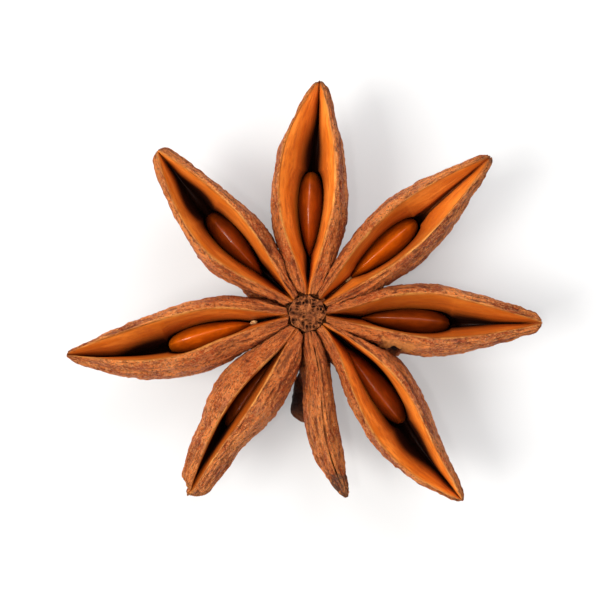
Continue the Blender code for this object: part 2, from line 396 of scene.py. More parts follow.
def crack_share(tree, flow):
    """1 on the fine cracks, which run where a stretched noise crosses its middle value."""
    thread = maths(tree, "SUBTRACT", pattern(tree, flow, (0.8, 3.6, 3.6), 4.0), 0.5)
    beside = between(tree, maths(tree, "ABSOLUTE", thread, 0.0), 0.0, 0.014)
    some = between(tree, pattern(tree, flow, (0.8, 1.2, 1.2), 2.0), 0.48, 0.56)
    return maths(tree, "MULTIPLY", maths(tree, "SUBTRACT", 1.0, beside), some)


def lining_colour(tree, flow, depth):
    """Tan-orange, finely grained and stained, with painted shade, brown-black, down in the hollow.
    """
    slow = between(tree, pattern(tree, flow, (0.35, 0.8, 0.8), 3.0), 0.35, 0.65)
    colour = blended(tree, slow, (0.66, 0.155, 0.010), (0.90, 0.275, 0.034))
    stained = mark_value(tree, "stained")
    colour = blended(tree, stained, colour, (0.34, 0.062, 0.003))
    stain = between(tree, pattern(tree, flow, (0.9, 2.2, 2.2), 4.0, 0.7), 0.48, 0.62)
    colour = dabbed(tree, colour, stain, 0.60, (0.42, 0.086, 0.012))
    grain = between(tree, pattern(tree, flow, (2.4, 7.0, 7.0), 4.0, 0.7), 0.50, 0.70)
    colour = dabbed(tree, colour, grain, 0.45, (0.50, 0.110, 0.014))
    # Painted shade: browner down the hollow, and near black at its bottom and beyond the seed.
    colour = dabbed(tree, colour, between(tree, depth, 0.12, 0.80), 0.75, (0.36, 0.066, 0.005))
    return blended(tree, between(tree, depth, 0.55, 1.25), colour, (0.026, 0.005, 0.001))


# %% Husk finish
HUSK_SHINE = 0.24  # dry and woody, so reflections are weak
SKIN_ROUGHNESS, LINING_ROUGHNESS = 0.56, 0.44


def husk_colour(tree, flow):
    """Skin and lining, then painted shade in the wrinkles, the lip's pale edge and painted
    highlight, the break, painted shade in its holes and crack and on the belly, the charred tip.
    """
    marks = {name: mark_value(tree, name)
             for name in ("lining", "depth", "hollow", "lip", "fresh", "break_and_belly_shade", "char")}
    lining = lining_colour(tree, flow, marks["depth"])
    colour = blended(tree, marks["lining"], skin_colour(tree, flow), lining)
    # Painted shade in the wrinkles and pits.
    colour = dabbed(tree, colour, marks["hollow"], 0.70, (0.120, 0.020, 0.005))
    # The lip's pale edge in patches: partly its own colour, partly a painted highlight.
    lip_highlight_patches = between(tree, pattern(tree, flow, (1.6, 1.6, 1.6), 3.0), 0.30, 0.55)
    colour = dabbed(tree, colour, marks["lip"], lip_highlight_patches, (1.0, 0.42, 0.090))
    colour = dabbed(tree, colour, marks["fresh"], 0.80, (1.0, 0.350, 0.080))
    # Painted shade, near black, in the holes and crack of the break and on the shut belly.
    colour = blended(tree, marks["break_and_belly_shade"], colour, (0.020, 0.005, 0.002))
    mottled = between(tree, pattern(tree, flow, (3.0, 4.0, 4.0), 4.0, 0.75), 0.38, 0.56)
    return dabbed(tree, colour, marks["char"], mottled, (0.085, 0.048, 0.036))


def husk_finish():
    material, tree, shader = new_finish("husk", Metallic=0.0, Specular_IOR_Level=HUSK_SHINE)
    flow = mark_value(tree, "flow", "Vector")
    tree.links.new(husk_colour(tree, flow), shader.inputs["Base Color"])
    lining = mark_value(tree, "lining")
    rough = add_node(tree, "ShaderNodeMapRange", Value=lining,
                     To_Min=SKIN_ROUGHNESS, To_Max=LINING_ROUGHNESS)
    tree.links.new(rough.outputs["Result"], shader.inputs["Roughness"])
    coarse = pattern(tree, flow, (4.6, 7.0, 7.0), 5.0, 0.75)
    outside = maths(tree, "SUBTRACT", 1.05, lining)
    roughened(tree, shader, maths(tree, "MULTIPLY", coarse, outside), 0.55)
    return material


HUSK = husk_finish()
print(HUSK.name, len(HUSK.node_tree.nodes), "nodes")

# %% [markdown]
# ## A follicle's section
# Cut across, a follicle is a boat: a rounded keel, sides that swell to a shoulder and draw
# in to the lips. Inside, each wall slopes down to a waist that hugs the seed, opens out under
# it and closes below. Beyond the seed only a groove is left. The section is one closed ring,
# from the keel up the left side, over the lip, down into the hollow and back the same way on
# the right. A closed ring gives a wall with a real thickness, and no modifier is needed.

# %% Breadth, keel and lips


def half_breadth(f, u):
    swell = 0.17 + 0.83 * swelling(u, 0, f.widest, f.rise)
    taper = f.blunt + (1 - f.blunt) * tapering(u, f.widest, f.taper)
    waist = 0.22 * bump(u, 0.69, 0.12) if f.name == "south_west" else 0
    return (0.5 * f.breadth * swell * taper - waist) * tip_round(f, u)


def tip_round(f, u):
    """1 along the follicle, and a quarter circle's fall over the last stretch of it."""
    last = 0.07 if f.name == "south_west" else 0.03
    return np.sqrt(1.02 - np.clip((u - 1 + last) / last, 0, 1) ** 2)


def half_mouth(f, u):
    return 0.5 * f.mouth * swelling(u, f.opens, 0.54, 1.4) * tapering(u, 0.55, f.closing)


def keel_height(u):
    """From a foot at the column down to the belly, then up in a long curve to the beak."""
    foot = KEEL_AT_COLUMN * (1 - eased(u, 0.08, KEEL_LOWEST_AT))
    past = np.clip((u - KEEL_LOWEST_AT) / (1 - KEEL_LOWEST_AT), 0, 1)
    return foot + KEEL_AT_TIP * past**1.8 - SETTLED


def lip_height(f, u):
    rising = LIPS_AT_COLUMN + (f.lips - LIPS_AT_COLUMN) * eased(u, 0.05, 0.45)
    return rising - TIP_DROP * np.clip((u - 0.5) / 0.5, 0, 1) ** 2


for f in FOLLICLES.values():
    print(f.name, "is", (2 * half_breadth(f, np.array([0.5]))).round(2)[0], "mm wide half way out")

# %% Room for the seeds
WALL_POINTS, LIP_POINTS, LINING_POINTS = 66, 8, 54
THICKNESS = (0.80, 0.42)  # how pointed and how round the ends of a seed are, seen from above
SEED_SLACK = 0.04  # gap between a seed and the wall that hugs it
HOLLOW_RUNS_ON = 1.2  # how far the hollow runs out from the seed's broadest point, in half lengths
# The groove beyond the seed: its width as a share of the mouth's, and how deep it is and how
# dark its painted shade is.
GROOVES = {"east": (0.12, 0.9), "north_east": (0.14, 0.42), "north": (0.13, 0.9),
           "north_west": (0.30, 1.1), "west": (0.16, 1.0), "south_west": (0.60, 1.0),
           "south": (0.1, 1.0), "south_east": (0.20, 1.1)}


def egg(t, point, round_end):
    """A long egg's half width, at most 1, at t from -1 at its pointed end to 1 at the round one."""
    widest = point / (point + round_end)
    tallest = widest**point * (1 - widest) ** round_end
    t = np.clip(t, -1, 1)
    return (0.5 + 0.5 * t) ** point * (0.5 - 0.5 * t) ** round_end / tallest


def hollow_half(place, along):
    """Half breadth of the hollow: it hugs the seed, and runs out in a wedge beyond it."""
    wedge = np.clip((along / place.halves[0] - 0.31) / HOLLOW_RUNS_ON, 0, 1)
    beyond = 0.72 * place.halves[1] * (1 - wedge**1.5) * (along > 0)
    along = along / np.where(along > 0, 1.05, 1.0)
    return np.maximum(place.halves[1] * egg(along / place.halves[0], *THICKNESS), beyond)


def bearing_vector(name):
    turn = np.radians(TIPS[name].bearing)
    return np.array([np.cos(turn), np.sin(turn)])


for name, place in SEEDS.items():
    print(name, "seed: middle", round(place.middle[:2] @ bearing_vector(name), 1), "mm out")

# %% Half a section


def half_section(f, u):
    """y and z from the keel up the outside, over the lip and down to the hollow's floor.

    The outside is two quarters of a flattened ellipse that meet at the shoulder: y goes with a
    power of the sine of a half turn, and z with its cosine. The lip is a low half round.
    """
    low, top = keel_height(u), lip_height(f, u)
    middle, half = 0.5 * (low + top), 0.5 * (top - low) * (0.35 + 0.65 * tip_round(f, u))
    low, top = middle - half, middle + half
    full, mouth = half_breadth(f, u), half_mouth(f, u)
    free = eased(u, 0.14, 0.38)
    shoulder = low + (ROOT_SHOULDER + (SHOULDER - ROOT_SHOULDER) * free) * (top - low)
    edge = soft_least(mouth + LIP, 0.93 * full, 0.05)
    mouth = np.maximum(np.minimum(mouth, edge - 0.10 * full), 0.02)
    turn = np.linspace(0, np.pi, WALL_POINTS)[None, :]
    lower = turn < 0.5 * np.pi
    side = np.sin(turn)
    draws_in = 0.7 + (0.9 if f.name == "south" else 0.5) * free
    y_wall = np.where(lower, full * side**1.15, edge + (full - edge) * side**draws_in)
    z_wall = shoulder - np.where(lower, shoulder - low, top - shoulder) * np.cos(turn)
    over = np.linspace(0, np.pi, LIP_POINTS + 2)[None, 1:-1]
    round_half = 0.5 * (edge - mouth)
    y_lip = mouth + round_half * (1 + np.cos(over))
    z_lip = top + 0.7 * np.minimum(round_half, 0.12) * np.sin(over)
    y_lining, z_lining = lining_section(f, u, low, top, mouth)
    return (np.concatenate([y_wall, y_lip, y_lining], axis=1),
            np.concatenate([z_wall, z_lip, z_lining], axis=1))


def lining_section(f, u, low, top, mouth):
    """The inner wall of one side, from the lip to just beside the middle of the floor.

    Down to the waist, which follows the seed or the groove, y falls along a power curve.
    Below it y swells by a half sine and closes along an ellipse.
    """
    down = np.linspace(0, 1, LINING_POINTS + 1)[None, :-1]
    height = top - low
    narrow = f.name == "south_west"
    place = SEEDS.get(f.name)
    beside = 0 * u
    if place:
        along = TIPS[f.name].length * u - place.middle[:2] @ bearing_vector(f.name)
        beside = hollow_half(place, along)
    room = eased(beside, 0.0, 0.5)
    width, gloom = GROOVES[f.name]
    groove = mouth * width * (1 - (0.2 if narrow else 0.65) * eased(u, 0.68, 0.92)) + 0.01
    waist = -soft_least(-groove, -((0.20 if narrow else 0.92) * beside + SEED_SLACK * room), 0.10)
    under = np.maximum(waist, beside + 0.10)
    waist_depth = height * (0.34 if narrow else 0.62 * gloom + (0.48 - 0.62 * gloom) * room)
    floor_depth = height * (0.82 * gloom**0.5 + (0.90 - 0.82 * gloom**0.5) * room)
    open_share = eased(u, f.opens, f.opens + 0.10) * (1 - 0.6 * eased(u, 0.90, 1.0))
    waist_depth = waist_depth * open_share + 0.02
    floor_depth = floor_depth * open_share + 0.04
    waist = np.minimum(waist, 0.94 * mouth)
    split = 0.62
    upper, lower = np.clip(down / split, 0, 1), np.clip((down - split) / (1 - split), 0, 1)
    y = waist + (mouth - waist) * (1 - upper) ** (1.45 - 0.25 * room)
    y = (y + (under - waist) * np.sin(np.pi * lower) ** 0.8) * np.sqrt(1 - lower**2)
    z = top - waist_depth * upper - (floor_depth - waist_depth) * lower
    return y, z


def lining_skew(f, share):
    """The narrow slit leads past the hollow, so that its left wall shows and its right doesn't."""
    return -0.24 * bump(share, 0.68, 0.30) if f.name == "south_west" else 0 * share


print("points in a section:", 2 * (WALL_POINTS + LIP_POINTS + LINING_POINTS) - 1)

# %% [markdown]
# ## Where the follicles meet
# Round the column the eight follicles are pressed against each other, and only hairline
# seams show between them on top, while lower down they have grown together. Each is kept
# inside its own wedge, out to the plane halfway to its neighbour, less half of the seam.
# Planes are one line of arithmetic each, and a Boolean would cut up the tidy rings.

# %% Place a follicle
SEAM = 0.025
NEIGHBOUR_AFTER = {name: COMPASS[(k + 1) % 8] for k, name in enumerate(COMPASS)}
NEIGHBOUR_BEFORE = {after: name for name, after in NEIGHBOUR_AFTER.items()}
# Some follicles push their neighbour aside: how far the plane after each turns, in degrees.
PUSHED = {"east": -1.0, "north_east": -1.4, "north": 5.0, "north_west": 3.1, "west": 0.4,
          "south_west": 2.0, "south": -0.8, "south_east": 0.0}


def angle_between(name, other):
    """Half the angle between the bearings of two neighbours, in degrees."""
    return 0.5 * abs((TIPS[name].bearing - TIPS[other].bearing + 180) % 360 - 180)


def kept_in_wedge(f, along, across, share, outward):
    """Pressed against the neighbours' planes, grown together below and with a seam on top."""
    after, before = NEIGHBOUR_AFTER[f.name], NEIGHBOUR_BEFORE[f.name]
    top = eased(share, 0.70, 0.92)
    seam = SEAM * top - 0.06 * (1 - top)
    left = along * np.tan(np.radians(angle_between(f.name, after) + PUSHED[f.name])) - seam
    right = along * np.tan(np.radians(angle_between(f.name, before) - PUSHED[before])) - seam
    web = np.abs(outward) * (1 - eased(along, 3.3, 4.8)) * bump(share, 0.36, 0.36) ** 0.5
    across = across + (np.where(outward > 0, left, -right) - across) * web
    across = soft_least(across, left, 0.08)
    return -soft_least(-across, right, 0.08)


def leant(f, u, y, z):
    """Turned about the shoulder by the lean and the twist, then bent by bow and hook."""
    lean = np.radians(f.lean * eased(u, 0.08, 0.38) + f.twist * eased(u, 0.45, 1.0))
    low = keel_height(u)
    pivot = low + 0.58 * (lip_height(f, u) - low)
    bend = f.bow * np.sin(np.pi * u) + f.hook * np.sin(2 * np.pi * u)
    across = y * np.cos(lean) + (z - pivot) * np.sin(lean) + bend
    return across, pivot + (z - pivot) * np.cos(lean) - y * np.sin(lean)


def keel_swing(f, u, share):
    """The shut follicle is shrunken, and its belly hangs out to the right below its seam."""
    if f.name != "south":
        return 0 * share
    lobe = np.sqrt(np.clip(1 - ((u - 0.45) / 0.135) ** 2, 0, 1))
    return -1.25 * lobe * (1 - eased(share, 0.20, 0.36))


def turned(f, along, across, up):
    """From the follicle's own frame to the pod's."""
    ahead = bearing_vector(f.name)
    x = along * ahead[0] - across * ahead[1]
    y = along * ahead[1] + across * ahead[0]
    return np.stack([x, y, up], -1)


for name, after in NEIGHBOUR_AFTER.items():
    print(f"{name} to {after}: {2 * angle_between(name, after):.1f} degrees")

# %% [markdown]
# ## Relief and marks
# The skin gets slow lumps, long ridges and small pits, and the lining only a faint wave.
# Marks at the points say how deep in the hollow or in a wrinkle a point is, which sets the
# painted shade there, how close to the lip, and how stained, weathered or charred, so that
# colour and form can't drift apart.

# %% Relief
ROWS = 236


def skin_relief(plain, flow, key):
    """Height of the skin in mm over the smooth form, and how deep in a wrinkle or pit it is,
    which sets the painted shade there.
    """
    lumps = 0.080 * noise(plain, 2.2, key) + 0.060 * noise(plain, 0.9, key + 1)
    long_ridges = ridges(flow, (3.6, 0.55, 0.55), key + 2)
    short_ridges = ridges(flow, (0.9, 0.26, 0.26), key + 3)
    grains = noise(flow, (0.24, 0.19, 0.19), key + 4)
    pits = np.clip(-grains - 0.35, 0, 1)
    height = lumps + 0.040 * long_ridges + 0.028 * short_ridges + 0.040 * grains - 0.09 * pits
    # hollow sets painted shade in the wrinkles' troughs and in the pits.
    hollow = np.clip(-0.32 * long_ridges - 0.32 * short_ridges - 0.22 + 1.8 * pits, 0, 1)
    return height, hollow


def lining_relief(plain, flow, key):
    return 0.035 * noise(plain, 1.6, key + 5) + 0.008 * ridges(flow, (3.0, 0.3, 0.3), key + 6)


print("a follicle has", ROWS, "rings")

# %% [markdown]
# ## Damage
# The east follicle's right flank is broken: a ragged edge hangs out where it was torn, with a
# dark crack and two small holes along it, and the skin above has flaked off and shows a
# paler, newer face. The tip of the south-west one is chipped. Noise-edged patches push all
# of it in or out, because a ragged cut would need a far finer mesh. The crack and the holes
# are painted near black, as painted shade inside them.

# %% Damage
FLAKE_AT, FLAKE_HALF = (6.2, 0.80), (1.15, 0.17)  # mm out, and share of the height
TEAR_STARTS, TEAR_ENDS, TEAR_SHARE = 2.9, 6.3, 0.66
HOLES, HOLE_RADIUS = ((4.45, 0.72), (5.95, 0.66)), 0.50
FLANK = 5  # mm of flank that a share of 1 stands for
CHIP_STARTS = 13.75


def flake(f, along, share, side, plain):
    """How deep the skin is broken away, in mm, how fresh the break is, and where painted
    shade darkens the holes and the crack.
    """
    none = 0 * plain[..., 0]
    right = side < 0
    ragged = 0.26 * noise(plain, 0.55, 90) + 0.16 * noise(plain, 0.22, 91)
    crumbs = 0.09 * noise(plain, 0.28, 92) + 0.05 * noise(plain, 0.13, 93)
    if f.name == "south_west":
        chip = eased(along + 0.5 * ragged, CHIP_STARTS, CHIP_STARTS + 0.2) * right
        return chip * (0.16 + crumbs), chip, none
    if f.name != "east":
        return none, none, none
    face = np.maximum(np.abs(along - FLAKE_AT[0]) / FLAKE_HALF[0],
                      np.abs(share - FLAKE_AT[1]) / FLAKE_HALF[1]) + ragged
    patch = (1 - eased(face, 0.84, 0.94)) * right
    crack = bump(share, TEAR_SHARE + 0.30 * ragged, 0.050) * right
    crack = crack * eased(along, TEAR_STARTS, TEAR_STARTS + 0.4)
    crack = crack * (1 - eased(along, TEAR_ENDS, TEAR_ENDS + 0.3))
    torn = bump(share, 0.58, 0.24) * eased(along, 3.2, 4.8) * right
    torn = torn * (1 - eased(along + ragged, TEAR_ENDS, TEAR_ENDS + 0.3))
    holes = sum(bump(np.hypot(along - out, (share - up) * FLANK), 0, HOLE_RADIUS)
                for out, up in HOLES)
    holes = np.clip(holes * (2.2 + 2 * ragged), 0, 1) * right
    depth = patch * (0.10 + crumbs) + 0.35 * holes + 0.12 * crack - (0.30 + 2 * crumbs) * torn
    return depth, patch * (1 - holes), np.clip(1.2 * holes + 0.9 * crack, 0, 1)


print("holes at", [out for out, up in HOLES], "mm out")

# %% Points and marks
# How stained each lining is, and where and how strongly each tip is charred.
STAINED = {"north": 0.0, "north_east": 0.50, "east": 0.68, "south_east": 0.0,
           "south": 0.2, "south_west": 0.90, "west": 0.35, "north_west": 0.30}
CHARRED = {"north": (0.95, 0.7), "north_east": (0.96, 0.9), "east": (0.985, 0.3),
           "south_east": (0.95, 0.9), "south": (0.86, 0.9), "south_west": (0.95, 0.6),
           "west": (0.97, 0.7), "north_west": (0.99, 0.4)}
DARKEST = 1.4  # where the depth mark stops
Points = namedtuple("Points", "u y z along share side step lining lip plain")


def follicle_points(f):
    """Both halves of every section, and where each point lies along, up and around."""
    length = TIPS[f.name].length
    start = ROOT_AT / length
    t = np.linspace(0, 1, ROWS)
    u = (start + (1 - start) * (1 - (1 - t) ** 1.2))[:, None]
    half_y, half_z = half_section(f, u)
    y = np.concatenate([half_y, -half_y[:, :0:-1]], axis=1)
    z = np.concatenate([half_z, half_z[:, :0:-1]], axis=1)
    order = np.arange(y.shape[1])
    side = np.where(order < half_y.shape[1], 1.0, -1.0)[None, :] + 0 * u
    step = np.minimum(order, y.shape[1] - order)
    lining = eased(step, WALL_POINTS + 2, WALL_POINTS + 7)[None, :] + 0 * u
    lining = lining * (0.1 if f.name == "south" else 1.0)
    lip = np.exp(-((step - WALL_POINTS - 5) / 2.2) ** 2)[None, :] + 0 * u
    low, top = keel_height(u), lip_height(f, u)
    along = length * u + 0 * y
    plain = np.stack([along, y, z], -1)
    return Points(u, y, z, along, (z - low) / (top - low), side, step, lining, lip, plain)


def lip_mark(f, at, along):
    """How strongly the lip's pale edge shows, partly its own colour and partly a painted
    highlight: brighter and duller in turn along each side.
    """
    place = np.stack([along, 5 * at.side, 0 * along], -1)
    patchy = 0.55 + 0.45 * noise(place, (2.2, 1, 1), 70) + 0.25 * noise(place, (0.7, 1, 1), 71)
    share = 0.15 if f.name == "south" else 0.9
    return at.lip * np.clip(patchy, 0.05, 1) * eased(at.u, 0.14, 0.30) * share


def char_mark(f, at):
    """The dark, weathered tip, with a ragged edge."""
    start, strength = CHARRED[f.name]
    edge = start + 0.05 * noise(at.plain, 0.5, 60) + 0.03 * noise(at.plain, 0.2, 61)
    return strength * eased(at.u, edge, edge + 0.05) * (1 - 0.6 * at.lining)


def depth_mark(f, at, along):
    """How far down the hollow a point is, and more beyond the seed, where the walls close in.
    It sets the lining's painted shade, darker again in the south-west's narrow slit.
    """
    place = SEEDS.get(f.name)
    far = place.middle[:2] @ bearing_vector(f.name) + place.halves[0] if place else 0
    beyond = 1 + 0.85 * GROOVES[f.name][1] ** 2 * bump(along, far + 1.0, 3.0)
    depth = np.clip((1 - at.share) * at.lining / 0.62 * beyond, 0, DARKEST)
    return np.minimum(depth * (1.9 if f.name == "south_west" else 1.0), DARKEST)


def belly_mark(f, at):
    """1 on the shut follicle's belly, where it hangs out to the right and gets painted shade."""
    shown = bump(at.u, 0.455, 0.22) ** 0.5 * (1 - eased(at.share, 0.30, 0.46))
    return shown * (f.name == "south") * (at.side < 0)


print("marks for", len(CHARRED), "tips")

# %% Build a husk
DOME_STEPS, DOME_REACH = 6, 0.10  # extra rings and bulge, in mm, of a closed end


def husk_rings(f, key):
    """All the rings of a follicle with its relief, and the marks that its finish reads."""
    at = follicle_points(f)
    near = 1 - eased(at.along, ROOT_AT, ROOT_AT + 0.5)
    along = at.along + 0.10 * near * noise(at.plain * [0, 1, 1], 0.30, 80)
    flow = np.stack([along + 40 * key, 2.3 * at.y / half_breadth(f, at.u), 6.5 * at.share], -1)
    skin, hollow = skin_relief(at.plain, flow, 10 * key)
    inner = lining_relief(at.plain, flow, 10 * key)
    # dark is where painted shade darkens the break's holes and crack.
    broken, fresh, dark = flake(f, along, at.share, at.side, at.plain)
    wave = noise(np.stack([along, 3 * at.side, 0 * along], -1), (1.3, 1, 1), 10 * key + 7)
    z = at.z + 0.05 * wave * eased(at.share, 0.8, 1.0) * eased(at.u, 0.12, 0.25)
    outside = 1 - at.lining
    y = at.y + keel_swing(f, at.u, at.share) * outside + lining_skew(f, at.share) * at.lining
    across, up = leant(f, at.u, y, z)
    across = kept_in_wedge(f, along, across, at.share, at.side * (at.step < WALL_POINTS))
    rings = turned(f, along, across, up)
    height = skin * outside * (1 - 0.5 * at.lip) + inner * at.lining - broken * outside
    root = eased(along, ROOT_AT, ROOT_AT + 0.6)
    rings = rings + surface_normals(rings) * (height * root)[..., None]
    marks = {
        # lip: the lip's pale edge, partly a painted highlight.
        "flow": flow, "lining": at.lining, "lip": lip_mark(f, at, along),
        # depth sets the lining's painted shade.
        "depth": depth_mark(f, at, along), "char": char_mark(f, at),
        "weathered": eased(at.u + 0.1 * noise(at.plain, 1.5, 40), 0.28, 0.62),
        "stained": np.clip(STAINED[f.name] * (1 + 0.3 * noise(at.plain, 1.4, 50)), 0, 1),
        # hollow is painted shade in the wrinkles and pits.
        "hollow": np.clip(hollow, 0, 1) * outside, "fresh": fresh * outside,
        # Painted shade for the holes and crack of the break and on the shut belly.
        "break_and_belly_shade": np.clip(dark + belly_mark(f, at), 0, 1) * outside,
    }
    return rings, marks


def with_round_ends(rings):
    """Extra rings that close both ends in a low dome, and the two middle points."""
    keel = rings[:, :1]
    opposite = rings[:, WALL_POINTS - 1: WALL_POINTS]
    middle = keel + 0.35 * (opposite - keel)
    turn = np.linspace(0, 0.5 * np.pi, DOME_STEPS + 1)[1:-1]
    shrink, rise = np.cos(turn)[:, None, None], DOME_REACH * np.sin(turn)[:, None, None]
    domes, ends = [], []
    for last, before in ((0, 1), (-1, -2)):
        way = (rings[last] - rings[before]).mean(0)
        way = way / np.linalg.norm(way)
        domes.append(middle[last] + (rings[last] - middle[last]) * shrink + rise * way)
        ends.append(middle[last, 0] + DOME_REACH * way)
    return np.concatenate([domes[0][::-1], rings, domes[1]]), np.stack(ends)


def padded_marks(marks):
    """The first and the last ring's marks again for the rings of each dome."""
    extra = DOME_STEPS - 1
    return {name: np.concatenate([mark[:1].repeat(extra, 0), mark, mark[-1:].repeat(extra, 0)])
            for name, mark in marks.items()}


def add_husk(f, key):
    rings, marks = husk_rings(f, key)
    rings, ends = with_round_ends(rings)
    rings[..., 2] = np.maximum(rings[..., 2], 0)
    piece = make_piece(f"husk_{f.name}", rings, ends, HUSK, padded_marks(marks))
    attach(piece, "root")
    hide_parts("pod")
    return piece


for key, name in enumerate(COMPASS):
    husk = add_husk(FOLLICLES[name], key + 1)
    print(husk.name, len(husk.data.polygons), "faces")

# %% [markdown]
# ## The column
# In the middle the dry end of the column shows as a crumbly cap with a lobed edge, set off
# from the follicles by a crack that painted shade darkens, as it does the low places between
# the crumbs. It is a turned profile: out across the scar below, up inside the follicles' roots,
# in at the crack and over the cap. Turning a profile keeps the poles closed and makes the lobes
# a matter of one cosine.

# %% Column finish


def cap_finish():
    material, tree, shader = new_finish("column_cap", Metallic=0.0, Roughness=0.85,
                                        Specular_IOR_Level=0.25)
    place = object_place(tree)
    slow = between(tree, pattern(tree, place, (900, 900, 900), 2.0), 0.35, 0.65)
    colour = blended(tree, slow, (0.24, 0.062, 0.016), (0.46, 0.135, 0.034))
    crumb = between(tree, pattern(tree, place, (3600, 3600, 3600), 4.0, 0.7), 0.52, 0.68)
    colour = dabbed(tree, colour, crumb, 0.6, (0.68, 0.24, 0.065))
    speck = between(tree, pattern(tree, place, (5200, 5200, 5200), 3.0, 0.7), 0.58, 0.66)
    colour = dabbed(tree, colour, speck, 0.7, (0.07, 0.018, 0.006))
    # Painted shade in the crack round the cap and between its crumbs.
    hollow = mark_value(tree, "hollow")
    colour = blended(tree, hollow, colour, (0.040, 0.010, 0.005))
    tree.links.new(colour, shader.inputs["Base Color"])
    roughened(tree, shader, pattern(tree, place, (4200, 4200, 4200), 5.0, 0.75), 0.32)
    return material


CAP = cap_finish()
print(CAP.name, "made")

# %% Column
# Radius and height in mm, from the middle of the scar to the middle of the cap.
PROFILE = np.array([
    (0.30, 0.0), (0.75, 0.0), (1.05, 0.0), (1.15, 0.03), (1.30, 0.30), (1.50, 1.2), (1.50, 5.1),
    (1.22, 5.3), (CAP_RADIUS, 5.6), (CAP_RADIUS, 5.95), (1.16, 6.12), (0.95, 6.18), (0.60, 6.2),
    (0.20, 6.2),
])
FINE_FROM = 6.9  # mm along the profile, where the rings get closer


def add_column():
    """The profile turned. Upper radius times 1 plus a small cosine of eight turns, for the
    lobes, and height plus noise on the cap, for the crumbs.
    """
    radius, height = PROFILE.T
    along = np.concatenate([[0], np.cumsum(np.hypot(np.diff(radius), np.diff(height)))])
    fine = np.concatenate([np.linspace(0, FINE_FROM, 60, endpoint=False),
                           np.linspace(FINE_FROM, along[-1], 130)])
    radius, height = np.interp(fine, along, radius), np.interp(fine, along, height)
    turn = np.linspace(0, 2 * np.pi, 300, endpoint=False)[None, :]
    top = eased(height, 5.2, 5.6)[:, None]
    lobes = 1 + 0.035 * np.cos(8 * turn + 0.6) * top
    radius = radius[:, None] * lobes
    plain = np.stack([radius * np.cos(turn), radius * np.sin(turn), height[:, None] + 0 * turn], -1)
    edge = (0.09 * noise(plain, 0.35, 200) + 0.04 * noise(plain, 0.15, 206)) * top
    spoke = np.stack([3 * turn + 0 * radius, radius / 0.35, 0 * radius], -1)
    crumbs = 0.10 * noise(plain, 0.42, 201) + 0.12 * ridges(plain, 0.22, 202)
    crumbs = crumbs + 0.09 * noise(plain, 0.11, 203)
    crumbs = crumbs + 0.07 * ridges(spoke, 1.0, 205) * eased(radius, 0.2, 0.6)
    face = eased(height, 6.0, 6.15)[:, None]
    rings = plain.copy()
    rings[..., :2] *= (1 + edge / np.maximum(radius, 0.3))[..., None]
    rings[..., 2] += crumbs * face - 0.05 * face
    side_noise = 0.05 * noise(plain, 0.6, 204)[..., None] * eased(height, 0.1, 0.4)[:, None, None]
    rings = rings + surface_normals(rings) * side_noise * (1 - face[..., None])
    rings[..., 2] = np.maximum(rings[..., 2], 0)
    ends = np.stack([[0, 0, 0], rings[-1].mean(axis=0)])
    # Painted shade: the crack under the cap's edge, and the low places between the crumbs.
    crack = (1 - eased(height, 5.7, 6.02))[:, None] * top
    hollow = np.clip(-2.4 * crumbs * face - 0.05, 0, 0.60) + crack
    piece = make_piece("column", rings, ends, CAP, {"hollow": np.clip(hollow, 0, 1)})
    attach(piece, "root")
    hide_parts("pod")
    return piece


print(add_column().name, "made")

# %% [markdown]
# ## The seeds
# A seed is a flattened bean that stands on edge, pointed towards the column and rounder
# outside, with a fine ridge along its top. Its coat is hard and polished, amber to brown.
# It is drawn in the axes measured from its own solid, as rings of an egg. The polish is a
# clear coat over a base that is cloudy and streaked, with a painted highlight along the ridge
# and painted shade on the flanks. The coats are lit, half-lit and shaded copies: partly the
# seeds' own tone, mostly painted light and shade, amber where light reaches into the hollow
# and brown where it doesn't. A seed that lets light through would be truer, but noisy in a
# narrow hollow.

# %% Seed finish


def seed_finish(name, dark, light):
    material, tree, shader = new_finish(name, Metallic=0.0, Roughness=0.34, Coat_Weight=0.6,
                                        Coat_Roughness=0.10, Specular_IOR_Level=0.1)
    flow = mark_value(tree, "flow", "Vector")
    cloud = between(tree, pattern(tree, flow, (0.5, 1.1, 1.1), 3.0), 0.33, 0.68)
    colour = blended(tree, cloud, dark, light)
    streak = between(tree, pattern(tree, flow, (0.35, 5.0, 5.0), 3.0), 0.52, 0.75)
    colour = dabbed(tree, colour, streak, 0.4, dark)
    # Painted highlight along the top ridge.
    ridge_highlight = mark_value(tree, "ridge_highlight")
    colour = dabbed(tree, colour, ridge_highlight, 0.6, light)
    # Painted shade on the flanks.
    flank_shade = mark_value(tree, "flank_shade")
    shade = tuple(0.35 * part for part in dark)
    colour = dabbed(tree, colour, flank_shade, 0.75, shade)
    tree.links.new(colour, shader.inputs["Base Color"])
    roughened(tree, shader, pattern(tree, flow, (1.2, 3.5, 3.5), 3.0), 0.015)
    return material


# Lit, half-lit and shaded copies of one coat, partly the seeds' own tone and mostly painted light
# and shade: amber where light reaches into the hollow, brown where it doesn't.
LIT_AMBER = seed_finish("seed_coat_lit_amber", (0.31, 0.049, 0.001), (0.60, 0.112, 0.002))
SHADED_BROWN = seed_finish("seed_coat_shaded_brown", (0.13, 0.018, 0.001), (0.27, 0.042, 0.002))
HALF_LIT_CHESTNUT = seed_finish("seed_coat_half_lit_chestnut", (0.19, 0.027, 0.001), (0.36, 0.060, 0.002))
COATS = {"north_east": LIT_AMBER, "west": LIT_AMBER, "north": HALF_LIT_CHESTNUT}
print("coats:", LIT_AMBER.name, SHADED_BROWN.name, HALF_LIT_CHESTNUT.name)

# %% Seeds
SEED_ROWS, SEED_RING = 96, 96


